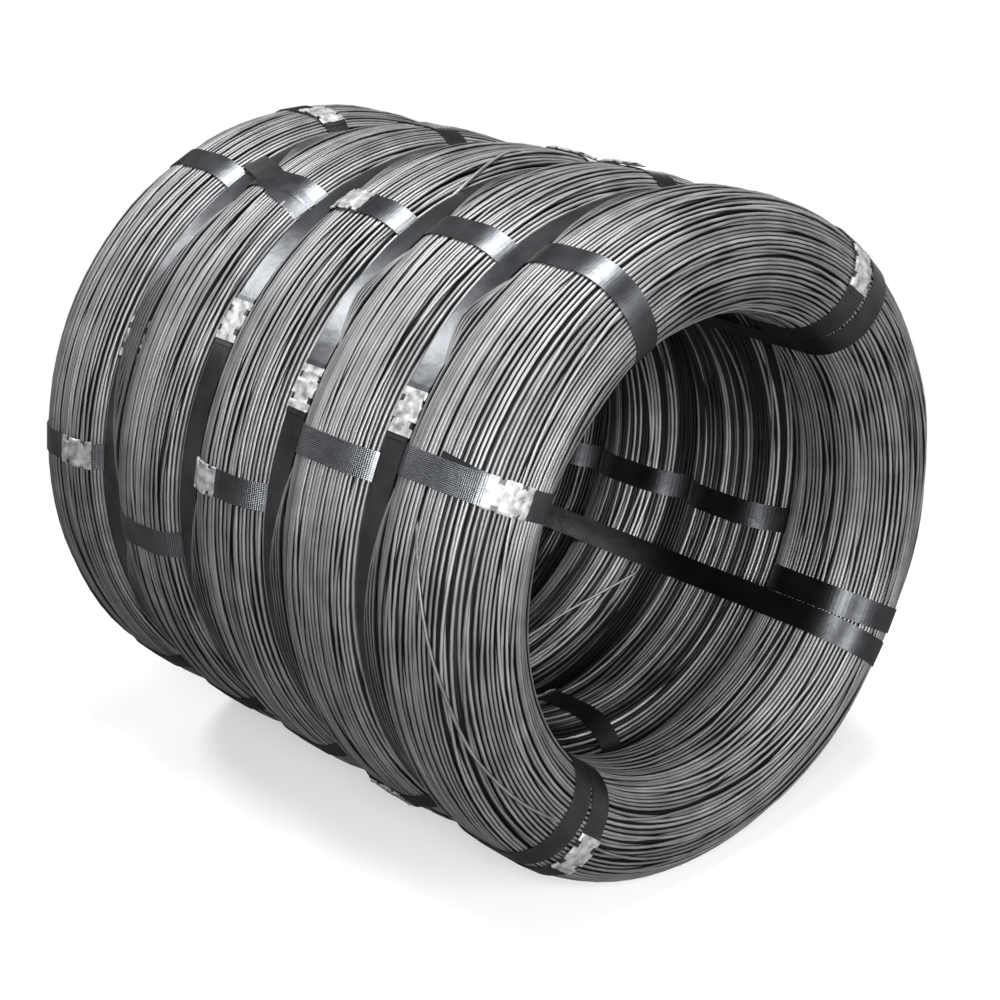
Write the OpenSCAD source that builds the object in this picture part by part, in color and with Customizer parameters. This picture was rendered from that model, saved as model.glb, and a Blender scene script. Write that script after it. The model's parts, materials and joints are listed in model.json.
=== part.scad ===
// Bundle of five wire rod coils lying on its side, bound with flat steel strapping.
// Each coil has its own ties, hoop straps lie in the grooves between the coils, and through
// straps run along the outside of the whole bundle and back through its bore.
// The bundle's axis lies along Y with the front end at -Y, and it rests on Z = 0.

/* [Coils] */
// Outside diameter of a coil
coil_od = 800; // [700:10:1000]
// Rounding of a coil's section
corner_r = 60; // [40:1:80]
// Straight part of a coil's crown, along the axis, between its rounded shoulders
crown_w = 40; // [20:1:120]
// Straight part of a coil's side between its rounded shoulders
flank_h = 10; // [6:1:60]
// Gap between neighbouring coils, which the ties pass through
coil_gap = 3; // [2.6:0.1:8]
// Diameter of the rod
rod_d = 5.5; // [5:0.5:12]

/* [Strapping] */
// Width of the strap
strap_w = 32; // [19:1:36]
// Thickness of the strap
strap_t = 0.9; // [0.6:0.05:1]
// Clearance between a strap or seal and what it lies on
lay = 0.3; // [0.2:0.05:0.3]

/* [Seals] */
// Length of a seal along the strap
seal_len = 50; // [40:1:54]
// Thickness of the seal's sheet
seal_t = 0.8; // [0.5:0.05:1]
// Width of the lip that is folded under each edge of the strap
lip_w = 11; // [6:1:14]
// Depth of the crimp notches in the seal's edges
notch_d = 4; // [2:0.5:6]
// Length of a crimp notch along the strap
notch_l = 7; // [4:0.5:9]

/* [Hidden] */
$fn = 96;
coil_count = 5;
coil_w = crown_w + 2 * corner_r;
outer_r = coil_od / 2;
bore_r = outer_r - flank_h - 2 * corner_r;
mid_r = (outer_r + bore_r) / 2;
half_w = coil_w / 2;
pitch = coil_w + coil_gap;
end_a = (coil_count - 1) / 2 * pitch;
// The bundle stands on the two ties that pass under its lowest line
axis_z = outer_r + lay + strap_t;
far = 2 * (coil_od + coil_count * pitch);

// Stretches of a coil's section: half of the crown or bore, a rounded corner, a flank
half_flat = crown_w / 2;
arc_len = PI * corner_r / 2;
section_len = 4 * half_flat + 4 * arc_len + 2 * flank_h;
loop_steps = 96;
seal_steps = 12;

// A seal holds two layers of strap, and its lips lift the strap off the coil
seal_lift = seal_t + lay;
strap_top = lay + strap_t;
slot_floor = lay + seal_t;
slot_top = slot_floor + lay + 2 * strap_t + lay;
seal_top = slot_top + seal_t;
slot_w = strap_w + 2 * lay;
seal_w = slot_w + 2 * seal_t;
lift_ramp = 14;
strap_end = 6;
// Degrees that a bowed sheet is made longer by before it is trimmed to its width
bow_spare = 4;

// A hoop strap lies on the shoulders of two coils, with room below it for a through strap, a tie
// or its own seal's lips
function shoulder_r(half, reach) =
    outer_r - corner_r + sqrt(reach ^ 2 - (corner_r + coil_gap / 2 - half) ^ 2);
hoop_in = max(shoulder_r(strap_w / 2, corner_r + strap_top + lay),
              shoulder_r(seal_w / 2, corner_r + lay) + seal_t + lay);

// Turns of rod that show on the crown and both ends of a coil; the straight part of its bore is plain
rod_pitch = 1.06 * rod_d;
turned_len = section_len - 2 * half_flat;
turn_count = floor(turned_len / rod_pitch);
// Half the width of a turn's crest, and how far the groove between two turns lies below it
crest_half = 0.25 * rod_d;
groove_d = 0.3 * rod_d;

// Where the ties lie, in degrees round the axis from +X towards +Z, for each coil from the front.
// The lowest tie of the second and fourth coils is what the bundle stands on.
TIE_SIDES = ["right", "top", "left", "bottom"];
TIE_ANGLES = [
    [331.6, 54, 154.2, 232.2],
    [344.8, 77, 157.1, 270],
    [344.6, 68, 169, 255],
    [344, 82, 184.7, 270],
    [350, 91, 175, 262]
];
// Where each tie's seal lies: on the crown, on a shoulder, or in the groove on the bore side
SEAL_PLACES = [
    ["crown", "front end", "front end", "front end"],
    ["crown", "rear shoulder", "inner groove", "inner groove"],
    ["crown", "crown", "rear shoulder", "crown"],
    ["crown", "inner groove", "inner groove", "inner groove"],
    ["crown", "front shoulder", "front shoulder", "rear end"]
];
// A through strap lies beside a tie of the front coil, this far round the bore from it
pair_step = 2 * atan((strap_w / 2 + lay) / (bore_r - strap_top - 2 * lay));
THROUGH_ANGLES = [
    TIE_ANGLES[0][0] - pair_step,
    TIE_ANGLES[0][1] - pair_step,
    116,
    TIE_ANGLES[0][3] - pair_step
];
// Place of each through strap's seal along the axis, towards the front, in coil pitches
THROUGH_SEAL_AT = [0, 2, -0.14, 1];
HOOP_NAMES = ["front", "mid_front", "mid_rear", "rear"];
HOOP_SEAL_ANGLES = [147.3, 149.4, 143, 152];

rod_colour = [0.36, 0.37, 0.38];
strap_colour = [0.17, 0.17, 0.18];
seal_colour = [0.74, 0.75, 0.76];

// Place along the axis of a coil's middle; the front coil is number 1
function coil_a(k) = end_a - (k - 1) * pitch;
function wrapped(u, whole) = u - whole * round(u / whole);

// A point of a coil's section, as [radius, place along the axis from the coil's middle].
// u runs along the outline from the middle of the crown towards the front, and off is outwards.
function section_at(u, off) =
    let (s = wrapped(u, section_len), side = s < 0 ? -1 : 1, v = abs(s),
         reach = corner_r + off,
         outer_turn = (v - half_flat) / corner_r * 180 / PI,
         inner_turn = 90 + (v - half_flat - arc_len - flank_h) / corner_r * 180 / PI)
    v <= half_flat ? [outer_r + off, side * v]
    : v <= half_flat + arc_len
        ? [outer_r - corner_r + reach * cos(outer_turn), side * (half_flat + reach * sin(outer_turn))]
    : v <= half_flat + arc_len + flank_h
        ? [outer_r - corner_r - (v - half_flat - arc_len), side * (half_w + off)]
    : v <= half_flat + 2 * arc_len + flank_h
        ? [bore_r + corner_r + reach * cos(inner_turn), side * (half_flat + reach * sin(inner_turn))]
    : [bore_r - off, side * (section_len / 2 - v)];

// Radius of the outside of the bundle at a place along the axis, bridged under the hoop straps,
// where a flat strap's edges stand further out than its middle
hoop_bow = hoop_in - sqrt(hoop_in ^ 2 - (strap_w / 2) ^ 2);
function bridge_r(off) = hoop_in - hoop_bow - lay - strap_top + off;
function crest_at(a, off) =
    let (over = max(0, abs(wrapped(a - end_a, pitch)) - half_flat))
    max(outer_r - corner_r + sqrt(max(0, (corner_r + off) ^ 2 - over ^ 2)), bridge_r(off));

// Half the length of that bridge, and a place along the axis moved to its end where it is close
function bridge_half(off) =
    corner_r + coil_gap / 2 - sqrt((corner_r + off) ^ 2 - (bridge_r(off) - outer_r + corner_r) ^ 2);
function to_bridge_end(a, off) =
    let (d = wrapped(a - end_a - pitch / 2, pitch), side = d < 0 ? -1 : 1, miss = bridge_half(off) - abs(d))
    abs(miss) < through_step / 2 ? a + side * miss : a;

// A point of the whole bundle's section, along a through strap, from the middle of the outside
outer_run = end_a + half_flat;
end_run = 2 * arc_len + flank_h;
bundle_len = 4 * outer_run + 2 * end_run;
through_steps = 5 * loop_steps;
through_step = bundle_len / through_steps;
function bundle_at(u, off) =
    let (s = wrapped(u, bundle_len), side = s < 0 ? -1 : 1, v = abs(s), a = to_bridge_end(s, off))
    v <= outer_run ? [crest_at(a, off), a]
    : v <= outer_run + end_run
        ? section_at(side * (v - outer_run + half_flat), off) + [0, side * end_a]
    : [bore_r - off, side * (bundle_len / 2 - v)];

// How far a seal's lips lift the strap, at a distance along it from the seal's middle
function lifted(d) = seal_lift * max(0, min(1, (seal_len / 2 + lift_ramp - abs(d)) / lift_ramp));

// Outline of a thin strip between two offsets from a path
function strip(path, from, to, low, high, steps) =
    let (at = [for (i = [0 : steps]) from + (to - from) * i / steps])
    concat([for (u = at) path(u, high)], [for (i = [steps : -1 : 0]) path(at[i], low)]);

// Closed line of a strap round a path: places along it, with the seal's lift added
function strap_line(path, whole, seal_u, off, steps) =
    [for (i = [0 : steps - 1])
        let (d = wrapped(whole * i / steps, whole)) path(seal_u + d, off + lifted(d))];

// Outline of a coil's section, from the front edge of its bore over the crown to the rear edge
coil_outline = [
    section_at(turned_len / 2, 0),
    for (i = [0 : turn_count - 1])
        let (u = (turn_count / 2 - i - 0.5) * rod_pitch)
        each [section_at(u + crest_half, 0), section_at(u - crest_half, 0),
              if (i < turn_count - 1) section_at(u - rod_pitch / 2, -groove_d)],
    section_at(-turned_len / 2, 0)
];

// Turns a shape made round Z so that it lies along Y, front end at -Y, on the floor
module lying() {
    translate([0, 0, axis_z]) rotate([90, 0, 0]) children();
}

// A flat strip of sheet, of a width, from its outline in the plane through the axis
module flat_sheet(width) {
    rotate([90, 0, 0]) linear_extrude(width, center = true) children();
}

// The same strip, bowed to lie on the inside of the bore
module bowed_sheet(width) {
    span = 2 * asin(width / 2 / (bore_r - seal_top)) + bow_spare;
    intersection() {
        rotate([0, 0, -span / 2]) rotate_extrude(angle = span, $fn = 480) children();
        translate([0, -width / 2, -far / 2]) cube([far, width, far]);
    }
}

module beyond_mid() {
    intersection() {
        children();
        translate([mid_r, -far / 2]) square([far, far]);
    }
}

module within_mid() {
    overlap = flank_h / 4;
    intersection() {
        children();
        translate([0, -far / 2]) square([mid_r + overlap, far]);
    }
}

// A closed loop of strap round a path, with its two ends one on the other in the seal
module strap_loop(path, whole, seal_u, steps, seal_inside) {
    module loop() {
        difference() {
            polygon(strap_line(path, whole, seal_u, strap_top, steps));
            polygon(strap_line(path, whole, seal_u, lay, steps));
        }
    }
    module second_layer() {
        reach = seal_len / 2 + strap_end;
        top = function(u, off) path(u, off + lifted(u - seal_u));
        polygon(strip(top, seal_u - reach, seal_u + reach, strap_top - strap_t / 4, strap_top + strap_t,
                      seal_steps));
    }
    flat_sheet(strap_w) beyond_mid() loop();
    bowed_sheet(strap_w) within_mid() loop();
    if (seal_inside) bowed_sheet(strap_w) second_layer();
    else flat_sheet(strap_w) second_layer();
}

// A folded seal round both layers of a strap, with two crimp notches in each edge
module strap_seal(path, seal_u, inside) {
    module sheet(width) {
        if (inside) bowed_sheet(width) children();
        else flat_sheet(width) children();
    }
    module run(length, low, high) {
        polygon(strip(path, seal_u - length / 2, seal_u + length / 2, low, high, seal_steps));
    }
    module notch(along, edge) {
        at = path(seal_u + along, slot_top);
        ahead = path(seal_u + along + 1, slot_top) - at;
        translate([at[0], edge * seal_w / 2, at[1]])
            rotate([0, -atan2(ahead[1], ahead[0]), 0])
                cube([notch_l, 2 * notch_d, 2 * (seal_t + strap_t)], center = true);
    }
    difference() {
        sheet(seal_w) run(seal_len, lay, seal_top);
        sheet(slot_w) run(seal_len + lay, slot_floor, slot_top);
        sheet(slot_w - 2 * lip_w) run(seal_len + lay, lay - seal_t, slot_floor + lay / 2);
        for (along = [-1, 1] * seal_len / 4, edge = [-1, 1]) notch(along, edge);
    }
}

// Middle of a tie's seal along the section, for each named place
function seal_at(place) =
    let (shoulder = half_flat + corner_r * 0.8 - seal_len / 2 - lift_ramp,
         end = half_flat + corner_r * 1.2,
         groove = half_flat + arc_len + flank_h + 0.48 * arc_len)
    place == "crown" ? 0
    : place == "front shoulder" ? shoulder
    : place == "rear shoulder" ? -shoulder
    : place == "front end" ? end
    : place == "rear end" ? -end
    : -groove;

section_path = function(u, off) section_at(u, off);
bundle_path = function(u, off) bundle_at(u, off);

module coil(k) {
    color(rod_colour) lying() translate([0, 0, coil_a(k)]) rotate_extrude() polygon(coil_outline);
}

module coil_tie(k, side) {
    place = SEAL_PLACES[k - 1][side];
    color(strap_colour) lying() translate([0, 0, coil_a(k)]) rotate([0, 0, TIE_ANGLES[k - 1][side]])
        strap_loop(section_path, section_len, seal_at(place), loop_steps, place == "inner groove");
}

module coil_seal(k, side) {
    place = SEAL_PLACES[k - 1][side];
    color(seal_colour) lying() translate([0, 0, coil_a(k)]) rotate([0, 0, TIE_ANGLES[k - 1][side]])
        strap_seal(section_path, seal_at(place), place == "inner groove");
}

module through_strap(side) {
    color(strap_colour) lying() rotate([0, 0, THROUGH_ANGLES[side]])
        strap_loop(bundle_path, bundle_len, THROUGH_SEAL_AT[side] * pitch, through_steps, false);
}

module through_seal(side) {
    color(seal_colour) lying() rotate([0, 0, THROUGH_ANGLES[side]])
        strap_seal(bundle_path, THROUGH_SEAL_AT[side] * pitch, false);
}

function hoop_a(i) = end_a - (i + 0.5) * pitch;

// A band round the axis, between two radii, of a width along it
module ring_sector(low, high, width, span) {
    rotate([0, 0, -span / 2]) rotate_extrude(angle = span)
        translate([low, -width / 2]) square([high - low, width]);
}

module hoop_strap(i) {
    // The two ends of the strap lie one on the other over this much of the hoop
    half = (seal_len / 2 + strap_end) / hoop_in * 180 / PI;
    reach = coil_od;
    color(strap_colour) lying() translate([0, 0, hoop_a(i)]) rotate([0, 0, HOOP_SEAL_ANGLES[i]])
        linear_extrude(strap_w, center = true) difference() {
            union() {
                circle(hoop_in + strap_t);
                intersection() {
                    circle(hoop_in + 2 * strap_t);
                    polygon([[0, 0], reach * [cos(half), -sin(half)], reach * [cos(half), sin(half)]]);
                }
            }
            circle(hoop_in);
        }
}

module hoop_seal(i) {
    span = seal_len / hoop_in * 180 / PI;
    top = hoop_in + 2 * strap_t + lay;
    lying() translate([0, 0, hoop_a(i)]) rotate([0, 0, HOOP_SEAL_ANGLES[i]])
        difference() {
            ring_sector(hoop_in - lay - seal_t, top + seal_t, seal_w, span);
            ring_sector(hoop_in - lay, top, slot_w, span * 1.1);
            ring_sector(hoop_in - 2 * lay - 2 * seal_t, hoop_in, slot_w - 2 * lip_w, span * 1.1);
            for (along = [-1, 1] * span / 4, edge = [-1, 1])
                rotate([0, 0, along]) translate([top, 0, edge * seal_w / 2])
                    cube([2 * (seal_t + strap_t), notch_l, 2 * notch_d], center = true);
        }
}

for (k = [1 : coil_count]) coil(k);
for (k = [1 : coil_count], i = [0 : len(TIE_SIDES) - 1]) {
    coil_tie(k, i);
    coil_seal(k, i);
}
for (i = [0 : len(TIE_SIDES) - 1]) {
    through_strap(i);
    through_seal(i);
}
for (i = [0 : len(HOOP_NAMES) - 1])
    hoop_strap(i);
color(seal_colour) for (i = [0 : 3]) hoop_seal(i);  // hoop_seals
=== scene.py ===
"""Dresses the strapped bundle of rod coils: its wound rod, strapping, seals and studio."""
import json
import logging
import math
from dataclasses import dataclass, field
from enum import Enum

import bpy
import numpy as np
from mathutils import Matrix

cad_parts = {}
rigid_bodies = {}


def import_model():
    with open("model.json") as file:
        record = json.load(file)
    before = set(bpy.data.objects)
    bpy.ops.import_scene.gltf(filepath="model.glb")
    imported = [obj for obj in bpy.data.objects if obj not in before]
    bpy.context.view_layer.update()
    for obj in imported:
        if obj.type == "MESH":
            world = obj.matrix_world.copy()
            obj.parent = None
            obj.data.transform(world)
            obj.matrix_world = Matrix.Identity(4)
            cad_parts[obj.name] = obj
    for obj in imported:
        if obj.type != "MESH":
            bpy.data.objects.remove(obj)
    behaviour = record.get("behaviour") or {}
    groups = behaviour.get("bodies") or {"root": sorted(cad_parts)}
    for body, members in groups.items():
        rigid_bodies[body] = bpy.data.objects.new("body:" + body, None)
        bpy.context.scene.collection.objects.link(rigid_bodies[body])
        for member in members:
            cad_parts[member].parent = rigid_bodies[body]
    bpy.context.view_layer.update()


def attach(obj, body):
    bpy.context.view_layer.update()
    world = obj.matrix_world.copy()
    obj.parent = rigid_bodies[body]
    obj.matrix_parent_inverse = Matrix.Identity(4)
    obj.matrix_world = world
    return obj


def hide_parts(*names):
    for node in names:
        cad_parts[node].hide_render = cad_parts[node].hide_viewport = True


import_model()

LOG = logging.getLogger("rod_bundle")
AXIS_Z = 0.4012
PITCH = 0.163
TIE_SIDES = ("right", "top", "left", "bottom")
TIE_ANGLES = (
    (331.6, 54.0, 154.2, 232.2),
    (344.8, 77.0, 157.1, 270.0),
    (344.6, 68.0, 169.0, 255.0),
    (344.0, 82.0, 184.7, 270.0),
    (350.0, 91.0, 175.0, 262.0),
)
THROUGH_ANGLES = (324.6, 47.0, 116.0, 225.2)


class SealPlace(Enum):
    """Where a tie's seal lies, in metres along the coil's section from its crown to the front."""

    CROWN = 0.0
    FRONT_SHOULDER = 0.029
    REAR_SHOULDER = -0.029
    FRONT_END = 0.092
    REAR_END = -0.092
    INNER_GROOVE = -0.1695


SEAL_PLACES = (
    (SealPlace.CROWN, SealPlace.FRONT_END, SealPlace.FRONT_END, SealPlace.FRONT_END),
    (SealPlace.CROWN, SealPlace.REAR_SHOULDER, SealPlace.INNER_GROOVE, SealPlace.INNER_GROOVE),
    (SealPlace.CROWN, SealPlace.CROWN, SealPlace.REAR_SHOULDER, SealPlace.CROWN),
    (SealPlace.CROWN, SealPlace.INNER_GROOVE, SealPlace.INNER_GROOVE, SealPlace.INNER_GROOVE),
    (SealPlace.CROWN, SealPlace.FRONT_SHOULDER, SealPlace.FRONT_SHOULDER, SealPlace.REAR_END),
)
THROUGH_SEAL_AT = (0.0, 2.0, -0.14, 1.0)
HOOP_SEAL_ANGLES = (147.3, 149.4, 143.0, 152.0)
SPRUNG_ROWS = (4, 4, 5, 6)
Colour = tuple[float, float, float]
Socket = bpy.types.NodeSocket


@dataclass(frozen=True)
class Section:
    """Rounded section of one coil, in metres, as radius and place along the axis.

    The outline is followed by a length u from the middle of the crown, positive to the front.
    """

    outer_r: float = 0.400
    bore_r: float = 0.270
    width: float = 0.160
    corner_r: float = 0.060

    @property
    def half_flat(self) -> float:
        """Half of the straight crown."""
        return self.width / 2 - self.corner_r

    @property
    def flank(self) -> float:
        """Straight part of a side."""
        return self.outer_r - self.bore_r - 2 * self.corner_r

    @property
    def middle_r(self) -> float:
        """Radius halfway between the bore and the outside."""
        return (self.outer_r + self.bore_r) / 2

    @property
    def arc(self) -> float:
        """Length of one rounded corner."""
        return math.pi / 2 * self.corner_r

    @property
    def length(self) -> float:
        """Length of the whole outline."""
        return 4 * self.half_flat + 4 * self.arc + 2 * self.flank

    def at(self, u: np.ndarray, off: np.ndarray) -> np.ndarray:
        """Finds points on the outline.

        Args:
            u: Lengths along the outline.
            off: Distances outwards from it.

        Returns:
            Points, with radius and place along the axis in the last dimension.
        """
        s = u - self.length * np.round(u / self.length)
        side = np.where(s < 0, -1.0, 1.0)
        v = np.abs(s)
        c, hf, fl, arc = self.corner_r, self.half_flat, self.flank, self.arc
        reach = c + off
        t1 = (v - hf) / c
        t2 = math.pi / 2 + (v - hf - arc - fl) / c
        cases = [v <= hf, v <= hf + arc, v <= hf + arc + fl, v <= hf + 2 * arc + fl]
        rho = np.select(cases, [
            self.outer_r + off,
            self.outer_r - c + reach * np.cos(t1),
            self.outer_r - c - (v - hf - arc),
            self.bore_r + c + reach * np.cos(t2),
        ], self.bore_r - off)
        along = np.select(cases, [
            v,
            hf + reach * np.sin(t1),
            self.width / 2 + off,
            hf + reach * np.sin(t2),
        ], self.length / 2 - v)
        return np.stack([rho, side * along], axis=-1)

    def outside(self, p: np.ndarray) -> tuple[np.ndarray, np.ndarray]:
        """Measures how far points stand out of the section.

        Args:
            p: Points as radius and place along the axis.

        Returns:
            Signed distances, positive outside, and the outward directions.
        """
        rel = p - np.array([self.middle_r, 0.0])
        half = np.array([(self.outer_r - self.bore_r) / 2, self.width / 2]) - self.corner_r
        q = np.abs(rel) - half
        pos = np.maximum(q, 0.0)
        away = np.linalg.norm(pos, axis=-1)
        dist = away + np.minimum(q.max(axis=-1), 0.0) - self.corner_r
        inner = np.where(q[..., :1] > q[..., 1:], np.array([1.0, 0.0]), np.array([0.0, 1.0]))
        way = np.where(away[..., None] > 1e-9, pos / np.maximum(away, 1e-9)[..., None], inner)
        return dist, way * np.where(rel < 0, -1.0, 1.0)


@dataclass(frozen=True)
class NodeKit:
    """Nodes of one material, with short ways to add those that the finishes share."""

    material: bpy.types.Material
    place: Socket

    @classmethod
    def start(cls, name: str) -> "NodeKit":
        """Starts a node material on Object coordinates.

        Args:
            name: The material's name.
        """
        material = bpy.data.materials.new(name)
        material.use_nodes = True
        coords = material.node_tree.nodes.new("ShaderNodeTexCoord")
        return cls(material, coords.outputs["Object"])

    @property
    def shader(self) -> bpy.types.Node:
        """The main shader."""
        return self.material.node_tree.nodes["Principled BSDF"]

    def fill(self, node: bpy.types.Node, values: dict[str | int, object]) -> None:
        """Links or sets inputs of a node.

        Args:
            node: The node.
            values: A socket to link, or a constant to set, for each input's name or number.
        """
        for key, value in values.items():
            if isinstance(value, Socket):
                self.material.node_tree.links.new(value, node.inputs[key])
            else:
                node.inputs[key].default_value = value

    def coat(self, values: dict[str | int, object]) -> None:
        """Links or sets inputs of the main shader.

        Args:
            values: A socket or a constant for each input's name.
        """
        self.fill(self.shader, values)

    def add(self, kind: str, values: dict[str | int, object], operation: str | None = None) -> bpy.types.Node:
        """Adds a node.

        Args:
            kind: Its type, without the word that all shader nodes begin with.
            values: A socket or a constant for each input's name or number.
            operation: What a math node does.

        Returns:
            The node.
        """
        node = self.material.node_tree.nodes.new(f"ShaderNode{kind}")
        if operation:
            node.operation = operation
        self.fill(node, values)
        return node

    def noise(self, scale: float, detail: float) -> Socket:
        """Adds noise.

        Args:
            scale: How many grains lie on a metre.
            detail: How fine the grain goes.

        Returns:
            Its height.
        """
        return self.add("TexNoise", {"Vector": self.place, "Scale": scale, "Detail": detail}).outputs["Fac"]

    def span(self, value: Socket, given: tuple[float, float], wanted: tuple[float, float],
             kind: str = "LINEAR") -> Socket:
        """Maps a value from one span to another and holds it at the ends.

        Args:
            value: The value.
            given: Ends of its span.
            wanted: What they become.
            kind: How it goes from one end to the other.

        Returns:
            The mapped value.
        """
        ends = {"From Min": given[0], "From Max": given[1], "To Min": wanted[0], "To Max": wanted[1]}
        node = self.add("MapRange", {"Value": value, **ends})
        node.interpolation_type = kind
        return node.outputs["Result"]

    def ramp(self, value: Socket, ends: tuple[float, float], dark: Colour, light: Colour) -> Socket:
        """Runs from one colour to another.

        Args:
            value: Place between the colours.
            ends: Values at which the colours are reached.
            dark: Colour at the first end.
            light: Colour at the second end.

        Returns:
            The colour.
        """
        node = self.add("ValToRGB", {"Fac": value})
        for stop, at, colour in zip(node.color_ramp.elements, ends, (dark, light)):
            stop.position = at
            stop.color = (*colour, 1.0)
        return node.outputs["Color"]

    def reckon(self, kind: str, first: Socket, second: Socket | float | None = None) -> Socket:
        """Adds a sum, product or wave.

        Args:
            kind: What it does.
            first: The first value.
            second: The second value, where there is one.

        Returns:
            The result.
        """
        values = {0: first} if second is None else {0: first, 1: second}
        return self.add("Math", values, kind).outputs["Value"]

    def scaled(self, colour: Socket, by: Socket) -> Socket:
        """Scales a colour.

        Args:
            colour: The colour.
            by: How much brighter it gets.

        Returns:
            The scaled colour.
        """
        return self.add("VectorMath", {0: colour, "Scale": by}, "SCALE").outputs["Vector"]

    def bump(self, height: Socket, strength: float, distance: float) -> Socket:
        """Adds fine relief.

        Args:
            height: Its height, from nothing to one.
            strength: How much of it shows.
            distance: Height in metres that one stands for.

        Returns:
            The normal.
        """
        values = {"Height": height, "Strength": strength, "Distance": distance}
        return self.add("Bump", values).outputs["Normal"]


@dataclass(frozen=True)
class RodFinish:
    """Drawn steel, nearly matt, with a tone of its own on each turn, and painted shade and glints in that
    tone.
    """

    name: str = "rod_drawn_steel"
    dark: Colour = (0.010, 0.010, 0.011)
    light: Colour = (0.640, 0.643, 0.648)
    tone_ends: tuple[float, float] = (0.08, 1.0)
    patch_ends: tuple[float, float] = (0.3, 0.7)
    worn: tuple[float, float] = (0.8, 1.08)
    roughness: tuple[float, float] = (0.40, 0.52)
    metallic: float = 0.5
    specular: float = 0.25

    def make(self) -> bpy.types.Material:
        """Builds the material."""
        kit = NodeKit.start(self.name)
        # The attribute holds each turn's own tone times painted shade, with painted glints in the bore.
        tint = kit.add("Attribute", {})
        tint.attribute_name = "turn_tone_and_painted_shade"
        patch = kit.noise(scale=34.0, detail=5.0)
        tone = kit.reckon("MULTIPLY", kit.span(patch, self.patch_ends, self.worn), tint.outputs["Fac"])
        kit.coat({
            "Base Color": kit.ramp(tone, self.tone_ends, self.dark, self.light),
            "Roughness": kit.span(patch, self.patch_ends, self.roughness),
            "Metallic": self.metallic,
            "Specular IOR Level": self.specular,
            "Normal": kit.bump(kit.noise(scale=900.0, detail=3.0), strength=0.25, distance=0.0004),
        })
        return kit.material


@dataclass(frozen=True)
class StrapFinish:
    """Blued strapping, glossy, with rolling streaks, slight dents from the rod under it and painted shade
    inside the bore.
    """

    name: str = "strap_blued_steel"
    dark: Colour = (0.046, 0.048, 0.052)
    light: Colour = (0.084, 0.087, 0.092)
    roughness: tuple[float, float] = (0.33, 0.41)
    metallic: float = 0.9
    # Painted shade: the strap's colour is darkened inside the bore, between these radii.
    bore_radii: tuple[float, float] = (0.272, 0.300)
    bore_shade: float = 0.30

    def make(self) -> bpy.types.Material:
        """Builds the material."""
        kit = NodeKit.start(self.name)
        streaks = kit.noise(scale=26.0, detail=6.0)
        kit.coat({"Roughness": kit.span(streaks, (0.0, 1.0), self.roughness), "Metallic": self.metallic})
        colour = self.painted_bore_shade(kit, kit.ramp(streaks, (0.3, 0.75), self.dark, self.light))
        self.surface(kit, colour, kit.noise(scale=70.0, detail=2.0))
        return kit.material

    def painted_bore_shade(self, kit: NodeKit, colour: Socket) -> Socket:
        """Darkens the strap's colour inside the bore, as painted shade.

        Args:
            kit: The material's nodes.
            colour: Colour of the strap outside the bore.

        Returns:
            The colour for every place.
        """
        flat = {0: kit.place, 1: (1.0, 0.0, 1.0), 2: (0.0, 0.0, -AXIS_Z)}
        from_axis = kit.add("VectorMath", flat, "MULTIPLY_ADD").outputs["Vector"]
        radius = kit.add("VectorMath", {0: from_axis}, "LENGTH").outputs["Value"]
        return kit.scaled(colour, kit.span(radius, self.bore_radii, (self.bore_shade, 1.0)))

    def surface(self, kit: NodeKit, colour: Socket, dents: Socket) -> None:
        """Links the colour and the relief to the shader.

        Args:
            kit: The material's nodes.
            colour: Colour of the plain strap.
            dents: Height of the strap's slight dents.
        """
        kit.coat({"Base Color": colour, "Normal": kit.bump(dents, strength=0.35, distance=0.0012)})


@dataclass(frozen=True)
class GrippedFinish(StrapFinish):
    """Strapping that the tensioner's wheel has marked with small diamonds, on the crown of a coil."""

    angle: float = 0.0
    centre_y: float = 0.0
    diamond: float = 0.0040
    crown_r: float = 0.34
    reach: tuple[float, float] = (0.052, 0.066)
    mark_shade: tuple[float, float] = (0.6, 2.2)
    mark_height: float = 0.45

    def surface(self, kit: NodeKit, colour: Socket, dents: Socket) -> None:
        """Links the colour and the relief, with the wheel's marks, to the shader.

        Args:
            kit: The material's nodes.
            colour: Colour of the plain strap.
            dents: Height of the strap's slight dents.
        """
        middle = {0: kit.place, 1: (0.0, self.centre_y, AXIS_Z)}
        place = kit.add("VectorMath", middle, "SUBTRACT").outputs["Vector"]

        def along(*way: float) -> Socket:
            """Measures the place along a direction."""
            return kit.add("VectorMath", {0: place, 1: way}, "DOT_PRODUCT").outputs["Value"]

        turn = math.radians(self.angle)
        wave = 2 * math.pi / self.diamond
        lean_x, lean_z = -math.sin(turn) * wave, math.cos(turn) * wave
        diamonds = kit.reckon("MULTIPLY", kit.reckon("SINE", along(lean_x, wave, lean_z)),
                              kit.reckon("SINE", along(lean_x, -wave, lean_z)))
        near = kit.span(kit.reckon("ABSOLUTE", along(0.0, 1.0, 0.0)), self.reach, (1.0, 0.0))
        crown = kit.reckon("GREATER_THAN", along(math.cos(turn), 0.0, math.sin(turn)), self.crown_r)
        marks = kit.reckon("MULTIPLY", diamonds, kit.reckon("MULTIPLY", near, crown))
        relief = kit.reckon("ADD", dents, kit.reckon("MULTIPLY", marks, self.mark_height))
        kit.coat({
            "Base Color": kit.scaled(colour, kit.span(marks, (-1.0, 1.0), self.mark_shade)),
            "Normal": kit.bump(relief, strength=0.5, distance=0.0012),
        })


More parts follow.
